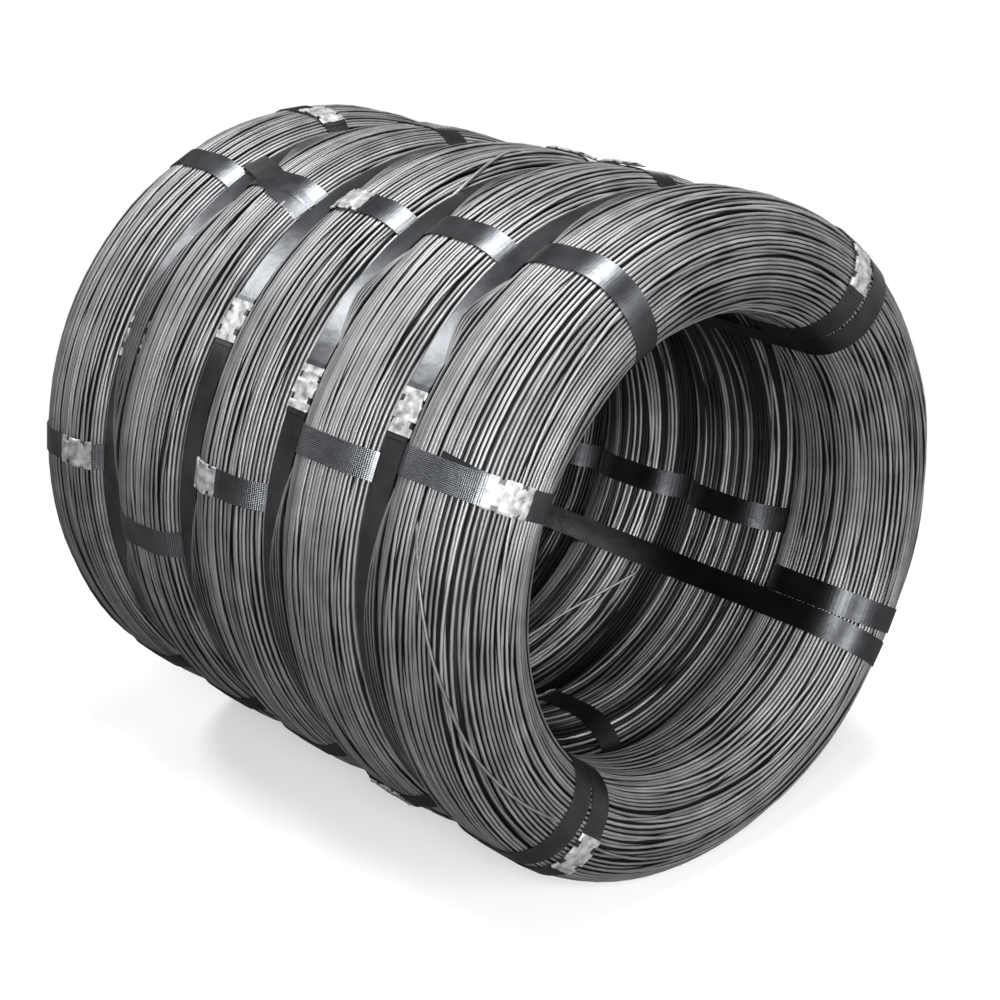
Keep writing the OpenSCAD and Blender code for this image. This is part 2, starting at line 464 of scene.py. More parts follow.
@dataclass(frozen=True)
class SealFinish:
    """Bright galvanised sheet, dented by the crimping tool."""

    name: str = "seal_galvanised"
    dark: Colour = (0.16, 0.165, 0.165)
    light: Colour = (0.37, 0.375, 0.375)
    roughness: tuple[float, float] = (0.42, 0.60)
    metallic: float = 0.4

    def make(self) -> bpy.types.Material:
        """Builds the material."""
        kit = NodeKit.start(self.name)
        grain = kit.noise(scale=110.0, detail=3.0)
        kit.coat({
            "Base Color": kit.ramp(grain, (0.35, 0.65), self.dark, self.light),
            "Metallic": self.metallic,
            "Roughness": kit.span(grain, (0.0, 1.0), self.roughness),
            "Normal": kit.bump(grain, strength=0.4, distance=0.0012),
        })
        return kit.material


@dataclass(frozen=True)
class CoreFinish:
    """Rod behind the turns that show, coloured near black as painted shade."""

    name: str = "rod_painted_shade"
    dark: Colour = (0.006, 0.006, 0.007)
    light: Colour = (0.018, 0.018, 0.019)
    roughness: float = 0.7
    metallic: float = 0.4

    def make(self) -> bpy.types.Material:
        """Builds the material."""
        kit = NodeKit.start(self.name)
        grain = kit.noise(scale=60.0, detail=2.0)
        kit.coat({
            "Base Color": kit.ramp(grain, (0.0, 1.0), self.dark, self.light),
            "Roughness": self.roughness,
            "Metallic": self.metallic,
        })
        return kit.material


@dataclass
class TurnLayer:
    """Turns of rod side by side at one depth, which now and then cross a neighbour or leave a gap.

    Places across the layer are counted in slots. A few slots hold no rod, which opens the dark
    gaps between packs of turns. Angles round the coil are in radians. A pair is the least and the
    most that is drawn.
    """

    slots: int
    empty: int
    depth: float
    crossings: int
    sides: int
    gap_ways: tuple[tuple[int, ...], ...] = ((1, 1, -1, -1), (1, -1, 1, -1), (1, 1, -1, -1))
    gap_first: tuple[float, float] = (0.4, 0.9)
    gap_next: tuple[float, float] = (0.75, 1.5)
    gap_half: float = 0.3
    cross_half: tuple[float, float] = (0.10, 0.26)
    cross_runs: tuple[int, ...] = (1, 1, 1, 2, 3, 5)
    seam_room: float = 0.02
    held: float = 0.3
    over_lap: float = 0.9
    under_dip: float = 0.9
    lean: float = 0.25
    lean_near: float = 0.5
    lean_far: float = 8.0

    def lay(self, rng: np.random.Generator, theta: np.ndarray, grip: np.ndarray) -> None:
        """Plans where each turn runs, round the whole coil.

        Args:
            rng: Source of the turns' wander.
            theta: Angles of the slices.
            grip: How firmly the straps hold each slice.
        """
        self.across = np.tile(np.arange(self.slots, dtype=float), (len(theta), 1))
        self.lift = np.zeros((len(theta), self.slots))
        self.holder = np.arange(self.slots)
        self.bare = np.zeros(self.slots, bool)
        first = rng.permutation(self.slots // 4)[: self.empty] * 4 + rng.integers(0, 2, self.empty)
        self.bare[first] = True
        plan = []
        for slot in first:
            middle = rng.uniform(*self.gap_first)
            for way in self.gap_ways[rng.integers(0, 3)]:
                plan.append((middle, self.gap_half, slot, way, 1, True))
                slot += way
                middle += rng.uniform(*self.gap_next)
        for _ in range(self.crossings):
            half = rng.uniform(*self.cross_half)
            middle = rng.uniform(half + self.seam_room, 2 * math.pi - half - self.seam_room)
            run = int(rng.choice(self.cross_runs))
            plan.append((middle, half, rng.integers(0, self.slots), rng.choice([-1, 1]), run, False))
        busy = [({slot % self.slots, (slot + way) % self.slots}, middle - half, middle + half)
                for middle, half, slot, way, _, gap in plan if gap]
        for middle, half, slot, way, run, gap in sorted(plan, key=lambda item: item[0]):
            begin = middle - half
            end = begin + 2 * half * (1 + self.over_lap * (run - 1))
            lanes = {(slot + way * i) % self.slots for i in range(run + 1)}
            at = int((begin + end) / (4 * math.pi) * len(theta)) % len(theta)
            clash = any(lanes & other and begin < stop and go < end for other, go, stop in busy)
            beside_gap = any(self.bare[self.holder[lane]] for lane in lanes)
            past_seam = begin < 0 or end > 2 * math.pi
            if not gap and (clash or beside_gap or grip[at] > self.held or past_seam):
                continue
            busy.append((lanes, begin, end))
            self.cross(theta, begin, half, slot, way, run, gap)

    def cross(self, theta: np.ndarray, begin: float, half: float, slot: int, way: int, run: int,
              gap: bool) -> None:
        """Takes one turn over its neighbours into another slot.

        Args:
            theta: Angles of the slices.
            begin: Angle at which it leaves its slot.
            half: Half of the angle in which it passes one neighbour.
            slot: The slot that it leaves.
            way: Plus or minus one, the side that it goes to.
            run: How many neighbours it passes.
            gap: Whether it only moves over into an empty slot.
        """
        mover = self.holder[slot % self.slots]
        for i in range(run):
            there = (slot + way * (i + 1)) % self.slots
            here = (slot + way * i) % self.slots
            other = self.holder[there]
            t = rising(theta - begin, i * 2 * self.over_lap * half, 2 * half)
            ease = t * t * (3 - 2 * t)
            self.across[:, mover] += way * ease
            self.across[:, other] -= way * ease
            if not gap:
                hump = np.sin(math.pi * t) ** 2
                self.lift[:, mover] = np.maximum(self.lift[:, mover], hump)
                self.lift[:, other] = np.minimum(self.lift[:, other], -self.under_dip * hump)
            self.holder[here], self.holder[there] = other, mover

    def follow(self) -> np.ndarray:
        """Finds which turn each turn becomes where a round of the coil closes."""
        nxt = np.empty(self.slots, int)
        nxt[self.holder] = np.arange(self.slots)
        return nxt

    def leaned(self) -> np.ndarray:
        """Moves the turns a little into the empty slots beside them, and gives their places."""
        x = self.across.copy()
        for bare in np.flatnonzero(self.bare):
            away = self.across - self.across[:, bare, None]
            away -= self.slots * np.round(away / self.slots)
            x -= self.lean * np.tanh(away / self.lean_near) * np.exp(-np.abs(away) / self.lean_far)
        return x


@dataclass
class WoundCoil:
    """One coil of rod, as the turns that show in two loose layers round a core coloured near black as painted
    shade.

    A shade is painted shade, the share of a turn's tone that is taken away: in the under layer, in a groove
    of the bore or under the bore's top. A pair of lengths says where a change begins and how far it takes.
    """

    number: int
    section: Section = field(default_factory=Section)
    rod_d: float = 0.0044
    slices: int = 92
    bulge: float = 0.0032
    bore_bulge: float = 0.7
    rounds: int = 36
    quick_rounds: int = 8
    evening: float = 0.35
    push: float = 0.40
    most_push: float = 0.3
    strap_half: float = 0.016
    strap_fall: float = 0.035
    common_drift: float = 0.0018
    own_drift: float = 0.08
    own_sink: float = 0.3
    mean_sink: float = 0.14
    crossing_lift: float = 0.5
    floor_rise: tuple[float, float] = (-0.985, 0.06)
    held_sides: tuple[float, float] = (0.045, 0.02)
    groove_sides: tuple[float, float] = (0.058, 0.012)
    seam_angles: tuple[float, float] = (4.6, 1.6)
    bore_blend: float = 0.03
    outer_tone: float = 0.43
    outer_spread: tuple[float, float] = (0.6, 1.0)
    # Painted light in the bore: a dark tone as painted shade, with a painted glint on a few turns.
    bore_tone: float = 0.06
    glint_tone: float = 0.62
    glint_power: float = 2.4
    front_bore_tone: float = 0.27
    front_glint_tone: float = 0.28
    # Painted shade: share of the tone taken from the under layer, the grooves of the bore and the bore's top.
    under_shade: float = 0.9
    groove_shade: float = 0.88
    bore_shade: float = 0.6
    core_depth: float = 0.0112

    @property
    def centre_y(self) -> float:
        """Place of the coil's middle along Y."""
        return coil_y(self.number)

    @property
    def theta(self) -> np.ndarray:
        """Angles of the slices."""
        return np.arange(self.slices) / self.slices * 2 * math.pi

    def strap_grip(self) -> np.ndarray:
        """Finds how firmly the straps hold each slice, from one under a strap to nothing between straps."""
        grip = np.zeros(self.slices)
        for degrees in TIE_ANGLES[self.number - 1] + THROUGH_ANGLES:
            turned = np.angle(np.exp(1j * (self.theta - math.radians(degrees))))
            beside = np.maximum(0.0, np.abs(turned) * self.section.outer_r - self.strap_half)
            grip = np.maximum(grip, np.exp(-((beside / self.strap_fall) ** 2)))
        return grip

    def place(self, layer: TurnLayer, rng: np.random.Generator) -> np.ndarray:
        """Puts a layer's turns on the coil's section.

        Args:
            layer: The layer, already laid.
            rng: Source of the turns' wander.

        Returns:
            Middles of the turns, by slice and turn, as radius and place along the axis.
        """
        sec, rod, theta = self.section, self.rod_d, self.theta[:, None]
        u = (layer.leaned() + 0.5) / layer.slots * sec.length
        drift, sink = np.zeros_like(u), np.zeros_like(u)
        for k in range(0, 4):
            for m in range(1, 4):
                shift = rng.random() * 2 * math.pi
                wave = np.cos(k * theta + 2 * math.pi * m * u / sec.length + shift)
                drift += wave * self.common_drift / m
        for k in range(1, 6):
            phase = rng.random(layer.slots) * 2 * math.pi
            drift += np.cos(k * theta + phase) * self.own_drift * rod
            phase = rng.random(layer.slots) * 2 * math.pi
            sink += np.cos(k * theta + phase) * self.own_sink
        depth = layer.depth * rod + self.mean_sink * rod * (1 + sink) - self.crossing_lift * rod * layer.lift
        return sec.at(u + drift, -depth)

    def settle(self, p: np.ndarray, ahead: np.ndarray) -> np.ndarray:
        """Pushes turns apart where they share a place, and in under the straps.

        Args:
            p: Middles of the turns.
            ahead: The turn that each turn becomes where the round closes.

        Returns:
            The settled middles.
        """
        rod, sec = self.rod_d, self.section
        most = rod * self.most_push
        behind = np.argsort(ahead)
        grip = self.strap_grip()[:, None]
        off_floor = rising(np.sin(self.theta), *self.floor_rise)[:, None]
        own = np.eye(p.shape[1])[None] * 10.0
        for _ in range(self.rounds):
            after = np.concatenate([p[1:], p[:1, ahead]])
            before = np.concatenate([p[-1:, behind], p[:-1]])
            p = p + ((after + before) / 2 - p) * self.evening
            away = p[:, :, None, :] - p[:, None, :, :]
            dist = np.sqrt((away ** 2).sum(-1)) + own
            push = np.maximum(0.0, rod - dist) / np.maximum(dist, 1e-5) * self.push
            p = p + np.clip((away * push[..., None]).sum(2), -most, most)
            out, way = sec.outside(p)
            room = self.bulge * (1 - grip) * off_floor * self.loose(p)
            p = p - way * np.maximum(0.0, out + rod / 2 - room)[..., None]
        return p

    def loose(self, p: np.ndarray) -> np.ndarray:
        """Finds where turns may stand out between the straps, and where a neighbour holds them.

        Args:
            p: Points as radius and place along the axis.

        Returns:
            One where a turn is free, less in the bore, nothing beside a groove.
        """
        side = rising(np.abs(p[..., 1]), *self.held_sides)
        open_front = (self.number == 1) & (p[..., 1] > 0)
        open_rear = (self.number == 5) & (p[..., 1] < 0)
        held = np.where(open_front | open_rear, 0.0, side)
        return (1 - held) * np.where(p[..., 0] < self.section.middle_r, self.bore_bulge, 1.0)

    def groove(self, p: np.ndarray) -> np.ndarray:
        """Finds how deep turns lie in the groove beside a neighbouring coil, where painted shade darkens
        them.

        Args:
            p: Points as radius and place along the axis.

        Returns:
            One deep in a groove, nothing between the grooves or on a side that stays lit.
        """
        front = p[..., 1] if self.number > 2 else np.zeros(p.shape[:-1])
        rear = -p[..., 1] if 1 < self.number < 5 else np.zeros(p.shape[:-1])
        return rising(np.maximum(front, rear), *self.groove_sides)

    def tones(self, shade: np.ndarray) -> tuple[np.ndarray, np.ndarray]:
        """Draws each turn's tone outside and in the bore, where the tone is painted shade with a painted
        glint on a few turns of the rear coils.

        Args:
            shade: How much darker each turn is than one on the surface.

        Returns:
            The tones outside and those in the bore.
        """
        rng = np.random.default_rng(200 + self.number)
        outer = rng.uniform(*self.outer_spread, len(shade)) * (1 - shade) * self.outer_tone
        # Painted shade and painted glints for the turns in the bore.
        glint = self.bore_tone + self.glint_tone * rng.random(len(shade)) ** self.glint_power
        if self.number == 1:
            glint = self.front_bore_tone + self.front_glint_tone * glint
        return outer, glint * (1 - shade)

    def tube(self, line: np.ndarray, theta: np.ndarray, sides: int,
             radius: np.ndarray | float) -> tuple[np.ndarray, np.ndarray]:
        """Sweeps a round tube along a line on the coil.

        Args:
            line: Middles of the tube, as radius and place along the axis.
            theta: Their angles.
            sides: How many sides the tube has.
            radius: Its radius.

        Returns:
            Its points, and the painted shade on its sides: how much of the rod's tone shows at each point.
        """
        phi = np.arange(sides) / sides * 2 * math.pi
        rho, along = line[:, :1] + radius * np.cos(phi), line[:, 1:] + radius * np.sin(phi)
        way = self.section.outside(line)[1]
        faced = way[:, :1] * np.cos(phi) + way[:, 1:] * np.sin(phi)
        # The second result is painted shade on the tube's sides.
        return in_frame(rho, theta[:, None], self.centre_y - along).reshape(-1, 3), painted_side_shade(faced)

    def sweep(self, p: np.ndarray, ahead: np.ndarray, sides: np.ndarray,
              shade: np.ndarray) -> bpy.types.Object:
        """Sweeps a round tube along each turn and joins them.

        Args:
            p: Middles of the turns.
            ahead: The turn that each turn becomes where the round closes.
            sides: How many sides each turn's tube has.
            shade: How much darker each turn is than one on the surface.

        Returns:
            The object that holds all turns.
        """
        tone, glint = self.tones(shade)
        begin = np.concatenate([[0], np.cumsum(sides * self.slices)])
        blend = rising(self.theta, *self.seam_angles)
        top = np.clip(1.5 * np.sin(self.theta), 0.0, 1.0)
        verts, faces, tones = [], [], []
        for turn, after in enumerate(ahead):
            line, n = p[:, turn], int(sides[turn])
            points, side_shade = self.tube(line, self.theta, n, self.rod_d / 2)
            verts.append(points)
            here = begin[turn] + np.arange(self.slices) * n
            faces.append(tube_faces(here, np.concatenate([here[1:], [begin[after]]]), n))
            outer = tone[turn] * (1 - blend) + tone[after] * blend
            # The bore's tone is painted shade, with painted glints on a few turns.
            gleam = glint[turn] * (1 - blend) + glint[after] * blend
            inside = rising(-line[:, 0], -self.section.middle_r, self.bore_blend)
            shown = outer * (1 - inside) + gleam * inside
            # Painted shade in the grooves between coils inside the bore.
            shown = shown * (1 - self.groove_shade * inside * self.groove(line))
            # Painted shade: turns under the bore's top are darkened, in the rear coils.
            if self.number > 1:
                shown = shown * (1 - self.bore_shade * inside * top)
            tones.append((shown[:, None] * side_shade).ravel())
        return joined_mesh(f"coil_{self.number}_rod", np.concatenate(verts), np.concatenate(faces),
                           np.concatenate(tones))

    def turns(self) -> bpy.types.Object:
        """Lays, settles and sweeps the turns of both layers."""
        rng = np.random.default_rng(100 + self.number)
        grip = self.strap_grip()
        layers = (TurnLayer(slots=104, empty=15, depth=0.5, crossings=1700, sides=7),
                  TurnLayer(slots=80, empty=9, depth=1.45, crossings=240, sides=4))
        points, ahead, sides, shade, base = [], [], [], [], 0
        for under, layer in enumerate(layers):
            layer.lay(rng, self.theta, grip)
            kept = np.flatnonzero(~layer.bare)
            number = np.full(layer.slots, -1)
            number[kept] = np.arange(len(kept)) + base
            points.append(self.place(layer, rng)[:, kept])
            ahead.append(number[layer.follow()[kept]])
            sides.append(np.full(len(kept), layer.sides))
            # Painted shade: turns of the under layer are darkened in colour.
            shade.append(np.full(len(kept), self.under_shade * under))
            base += len(kept)
        after = np.concatenate(ahead)
        p = self.settle(np.concatenate(points, axis=1), after)
        return self.sweep(p, after, np.concatenate(sides), np.concatenate(shade))

    def core(self) -> bpy.types.Object:
        """Makes the core behind the turns that show, a ring that is moulded to the coil's section."""
        middle = self.section.middle_r
        bpy.ops.object.select_all(action="DESELECT")
        bpy.ops.mesh.primitive_torus_add(major_radius=middle, minor_radius=0.04, major_segments=96,
                                         minor_segments=24)
        obj = bpy.context.active_object
        obj.name = f"coil_{self.number}_core"
        co = mesh_points(obj)
        around = np.arctan2(co[:, 1], co[:, 0])
        turn = np.arctan2(co[:, 2], np.hypot(co[:, 0], co[:, 1]) - middle)
        u = turn / (2 * math.pi) * self.section.length
        p = self.section.at(u, np.full(len(u), -self.core_depth))
        co = in_frame(p[:, 0], around, self.centre_y - p[:, 1])
        obj.data.vertices.foreach_set("co", co.ravel())
        bpy.ops.object.shade_smooth()
        return obj

    def build(self, rod: bpy.types.Material, shade: bpy.types.Material) -> None:
        """Makes the coil's pieces and dresses them.

        Args:
            rod: Finish of the turns.
            shade: Finish of the core, near black as painted shade.
        """
        turns = self.turns()
        turns.data.materials.append(rod)
        core = self.core()
        core.data.materials.append(shade)
        for piece in (turns, core):
            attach(piece, "root")
        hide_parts(f"coil_{self.number}")
        LOG.info("coil %d: %d faces of rod", self.number, len(turns.data.polygons))


def coil_y(number: int) -> float:
    """Gives the place of a coil's middle along Y, the front coil first."""
    return (number - 3) * PITCH


def rising(value: np.ndarray, begin: float, over: float) -> np.ndarray:
    """Rises from nothing to one and stays there.

    Args:
        value: The values.
        begin: Where the rise begins.
        over: How far it takes.

    Returns:
        The share that each value has reached.
    """
    return np.clip((value - begin) / over, 0.0, 1.0)


def in_frame(rho: np.ndarray, around: np.ndarray, y: np.ndarray) -> np.ndarray:
    """Places points round the bundle's axis.

    Args:
        rho: Distances from the axis.
        around: Angles round it.
        y: Places along it.

    Returns:
        Points in the bundle's frame.
    """
    return np.stack([rho * np.cos(around), y, rho * np.sin(around) + AXIS_Z], -1)


def tube_faces(here: np.ndarray, there: np.ndarray, sides: int) -> np.ndarray:
    """Joins the rings of a tube.

    Args:
        here: Number of the first point in each ring.
        there: Number of the first point in the ring after it.
        sides: How many points a ring has.

    Returns:
        Four point numbers for each face.
    """
    k = np.arange(sides)[None]
    nxt = (k + 1) % sides
    here, there = here[:, None], there[:, None]
    return np.stack([here + k, there + k, there + nxt, here + nxt], -1).reshape(-1, 4)


def mesh_points(obj: bpy.types.Object) -> np.ndarray:
    """Reads the points of an object's mesh."""
    co = np.empty(len(obj.data.vertices) * 3)
    obj.data.vertices.foreach_get("co", co)
    return co.reshape(-1, 3)


def new_grid(name: str, rows: int, columns: int) -> tuple[bpy.types.Object, np.ndarray, np.ndarray]:
    """Adds a flat grid to be bent into a sheet.

    Args:
        name: The object's name.
        rows: How many fields it has one way.
        columns: How many it has the other way.

    Returns:
        The object, and the row and the column of each point.
    """
    bpy.ops.object.select_all(action="DESELECT")
    bpy.ops.mesh.primitive_grid_add(x_subdivisions=rows, y_subdivisions=columns, size=1.0)
    obj = bpy.context.active_object
    obj.name = name
    share = mesh_points(obj) + 0.5
    return obj, np.rint(share[:, 0] * rows).astype(int), np.rint(share[:, 1] * columns).astype(int)


def give_wall(obj: bpy.types.Object, sheet: float, offset: float) -> None:
    """Thickens a sheet.

    Args:
        obj: The sheet.
        sheet: Its thickness.
        offset: Side that the wall grows to, from minus one inwards to one outwards.
    """
    wall = obj.modifiers.new("wall", "SOLIDIFY")
    wall.thickness = sheet
    wall.offset = offset
    bpy.ops.object.modifier_apply(modifier=wall.name)


def painted_side_shade(faced: np.ndarray) -> np.ndarray:
    """Paints shade into the colour of a rod's sides, where its neighbours shade them.

    Args:
        faced: How far each point faces out of the coil, from minus one to one.

    Returns:
        One on the crest, near nothing below the rod's middle.
    """
    # Painted shade: the colour darkens as a point turns away from the coil's outside.
    return 0.01 + 0.99 * rising(faced, 0.06, 0.66) ** 1.3


def joined_mesh(name: str, verts: np.ndarray, faces: np.ndarray, tones: np.ndarray) -> bpy.types.Object:
    """Makes one smooth object from four-sided faces.

    Args:
        name: The object's name.
        verts: Its points.
        faces: Four point numbers for each face.
        tones: A tone for each point, with painted shade in it.

    Returns:
        The object.
    """
    data = bpy.data.meshes.new(name)
    data.vertices.add(len(verts))
    data.vertices.foreach_set("co", verts.ravel())
    data.loops.add(faces.size)
    data.loops.foreach_set("vertex_index", faces.ravel())
    data.polygons.add(len(faces))
    data.polygons.foreach_set("loop_start", np.arange(len(faces)) * 4)
    data.polygons.foreach_set("use_smooth", np.ones(len(faces), bool))
    data.update(calc_edges=True)
    # Each turn's own tone, with painted shade and glints in it.
    tone = data.attributes.new("turn_tone_and_painted_shade", "FLOAT", "POINT")
    tone.data.foreach_set("value", tones.astype(np.float32))
    data.validate()
    obj = bpy.data.objects.new(name, data)
    bpy.context.collection.objects.link(obj)
    return obj


class Run(Enum):
    """What a strap goes round."""

    TIE = "one coil"
    THROUGH = "the whole bundle"
    HOOP = "the groove between two coils"


@dataclass(frozen=True)
class StrapPath:
    """Line that a strap follows, with places along it, across it and out from it."""

    run: Run
    angle: float
    centre_y: float
    section: Section = field(default_factory=Section)
    hoop_r: float = 0.3819
    bridge: float = 0.0215

    def crest(self, along: np.ndarray, off: np.ndarray) -> np.ndarray:
        """Finds the radius of the bundle's outside, bridged across the grooves.

        Args:
            along: Places along the axis.
            off: Distances outwards.

        Returns:
            Radii.
        """
        sec = self.section
        over = np.maximum(0.0, np.abs(along - PITCH * np.round(along / PITCH)) - sec.half_flat)
        rise = np.sqrt(np.maximum(0.0, (sec.corner_r + off) ** 2 - over ** 2))
        return np.maximum(sec.outer_r - sec.corner_r + rise, sec.outer_r - self.bridge + off)

    def points(self, s: np.ndarray, w: np.ndarray, h: np.ndarray) -> np.ndarray:
        """Finds points by their place on the strap.

        Args:
            s: Lengths along the strap.
            w: Lengths across it.
            h: Heights over the rod.

        Returns:
            Points in the bundle's frame.
        """
        turn = math.radians(self.angle)
        if self.run is Run.HOOP:
            rho, around = self.hoop_r + h, turn + s / self.hoop_r
            y, w = self.centre_y - w, np.zeros_like(w)
        elif self.run is Run.THROUGH:
            rho, around, y = self.crest(s, h), np.full_like(s, turn), -s
        else:
            p = self.section.at(s, h)
            rho, y = p[..., 0], self.centre_y - p[..., 1]
            inside = rho < self.section.middle_r
            around = turn - np.where(inside, w / rho, 0.0)
            w = np.where(inside, 0.0, w)
        x = rho * np.cos(around) + w * np.sin(around)
        z = rho * np.sin(around) - w * np.cos(around)
        return np.stack([x, y, z + AXIS_Z], -1)


@dataclass
class CrimpedSeal:
    """Sheet sleeve round two ends of strap, with crimps that cut and fold its edges."""

    path: StrapPath
    middle: float
    name: str
    seed: int
    length: float = 0.050
    half_width: float = 0.0171
    low: float = 0.0005
    high: float = 0.0043
    lip: float = 0.011
    sheet: float = 0.0008
    crimp_at: float = 0.0125
    crimp_half: float = 0.0036
    crimp_in: float = 0.19
    crimp_down: float = 0.5
    cut: float = 0.0002
    crimp_edge: tuple[float, float] = (0.62, 0.25)
    crimp_play: tuple[float, float] = (0.6, 1.1)
    ripples: int = 7
    ripple_rate: float = 420.0
    ripple_top: float = 0.00024
    ripple_side: float = 0.00025

    def profile(self) -> tuple[np.ndarray, np.ndarray]:
        """Gives the sleeve's section, from one lip over the top to the other, as places and heights."""
        wide, low, high = self.half_width, self.low + self.sheet, self.high
        side_w = [-(wide - self.lip), -wide * 0.93, -wide * 1.02, -wide * 1.03, -wide * 0.97]
        side_h = [low, low, low + 0.0006, high - 0.0008, high - 0.0001]
        top = np.linspace(-wide * 0.84, wide * 0.84, 9)
        return (np.concatenate([side_w, top, -np.array(side_w[::-1])]),
                np.concatenate([side_h, np.full(9, high), side_h[::-1]]))

    def stations(self) -> np.ndarray:
        """Gives places along the sleeve, close together where a crimp's cut begins and ends."""
        cuts = [side * self.crimp_at + edge * self.crimp_half + step
                for side in (-1, 1) for edge in (-1, 1) for step in (-self.cut, self.cut)]
        plain = np.linspace(-self.length / 2, self.length / 2, 17)
        clear = [v for v in plain if min(abs(v - c) for c in cuts) > 0.0009]
        return np.array(sorted(cuts + clear))

    def build(self, finish: bpy.types.Material, node: str | None) -> bpy.types.Object:
        """Makes the sleeve on its strap.

        Args:
            finish: The seal's finish.
            node: The solid that it stands for, or none.

        Returns:
            The finished piece.
        """
        rng = np.random.default_rng(self.seed)
        across, height = self.profile()
        along = self.stations()
        obj, row, column = new_grid(self.name, len(along) - 1, len(across) - 1)
        s, w, h = along[row], across[column], height[column]
        near = np.abs(np.abs(s) - self.crimp_at) < self.crimp_half
        edge = rising(np.abs(w) / self.half_width, *self.crimp_edge)
        bent = rng.uniform(*self.crimp_play, 4)[(s > 0) * 2 + (w > 0)]
        w = np.where(near, w * (1 - self.crimp_in * edge * bent), w)
        h = np.where(near, h - (h - self.low - self.sheet) * self.crimp_down * edge * bent, h)
        for _ in range(self.ripples):
            way = rng.normal(0, 1, 2) * self.ripple_rate
            phase = rng.uniform(0, 2 * math.pi)
            ripple = np.cos(way[0] * s + way[1] * w + phase)
            h = h + ripple * self.ripple_top * (h > 0.002)
            w = w + np.sin(way[0] * s + phase) * self.ripple_side * edge
        place = self.path.points(self.middle + s, w, h)
        obj.data.vertices.foreach_set("co", place.ravel())
        give_wall(obj, self.sheet, -1.0)
        bpy.ops.object.shade_smooth_by_angle(angle=math.radians(32))
        obj.data.materials.append(finish)
        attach(obj, "root")
        if node:
            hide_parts(node)
        LOG.info("%s: %d faces", self.name, len(obj.data.polygons))
        return obj


@dataclass
class StrapTail:
    """Loose end of a strap, beyond its seal."""

    name: str
    places: tuple[float, ...]
    radii: tuple[float, ...]
    angles: tuple[float, ...]
    width: float = 0.032
    sheet: float = 0.0009
    steps: int = 40
    columns: int = 4
    evening: int = 12

    def build(self, finish: bpy.types.Material) -> None:
        """Makes the strip along its places on the bundle.

        Args:
            finish: Finish of the strap.
        """
        knots = np.linspace(0.0, 1.0, len(self.places))
        t = np.linspace(0.0, 1.0, self.steps + 1)
        y, rho, degrees = (smooth_line(t, knots, values, self.evening)
                           for values in (self.places, self.radii, self.angles))
        turn = np.radians(degrees)
        line = in_frame(rho, turn, y)
        ahead = np.gradient(line, axis=0)
        out = np.stack([np.cos(turn), np.zeros_like(turn), np.sin(turn)], -1)
        across = np.cross(ahead, out)
        across /= np.linalg.norm(across, axis=-1, keepdims=True)
        obj, row, column = new_grid(self.name, self.steps, self.columns)
        co = line[row] + across[row] * ((column / self.columns - 0.5) * self.width)[:, None]
        obj.data.vertices.foreach_set("co", co.ravel())
        give_wall(obj, self.sheet, 0.0)
        bpy.ops.object.mode_set(mode="EDIT")
        bpy.ops.mesh.select_all(action="SELECT")
        bpy.ops.mesh.normals_make_consistent(inside=False)
        bpy.ops.object.mode_set(mode="OBJECT")
        bpy.ops.object.shade_smooth_by_angle(angle=math.radians(30))
        obj.data.materials.append(finish)
        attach(obj, "root")
        LOG.info("%s: %d faces", self.name, len(obj.data.polygons))


@dataclass
class LooseRod:
    """Turn that has sprung over its neighbours and lies across them."""

    coil: WoundCoil
    angles: tuple[float, ...]
    places: tuple[float, ...]
    heights: tuple[float, ...]
    steps: int = 72
    sides: int = 8
    evening: int = 30
    tone: float = 0.33

    def tube(self) -> tuple[np.ndarray, np.ndarray, np.ndarray]:
        """Sweeps the rod along its places on the coil.

        Returns:
            Its points, its faces and a tone for each point, with painted shade on the rod's sides.
        """
        knots = np.linspace(0.0, 1.0, len(self.angles))
        t = np.linspace(0.0, 1.0, self.steps)
        degrees, u, off = (smooth_line(t, knots, values, self.evening)
                           for values in (self.angles, self.places, self.heights))
        theta = np.radians(degrees)
        theta[0], theta[-1] = theta[1], theta[-2]
        radius = np.full((self.steps, 1), self.coil.rod_d / 2)
        radius[[0, -1]] = 0.0
        points, side_shade = self.coil.tube(self.coil.section.at(u, off), theta, self.sides, radius)
        here = np.arange(self.steps - 1) * self.sides
        return points, tube_faces(here, here + self.sides, self.sides), (self.tone * side_shade).ravel()


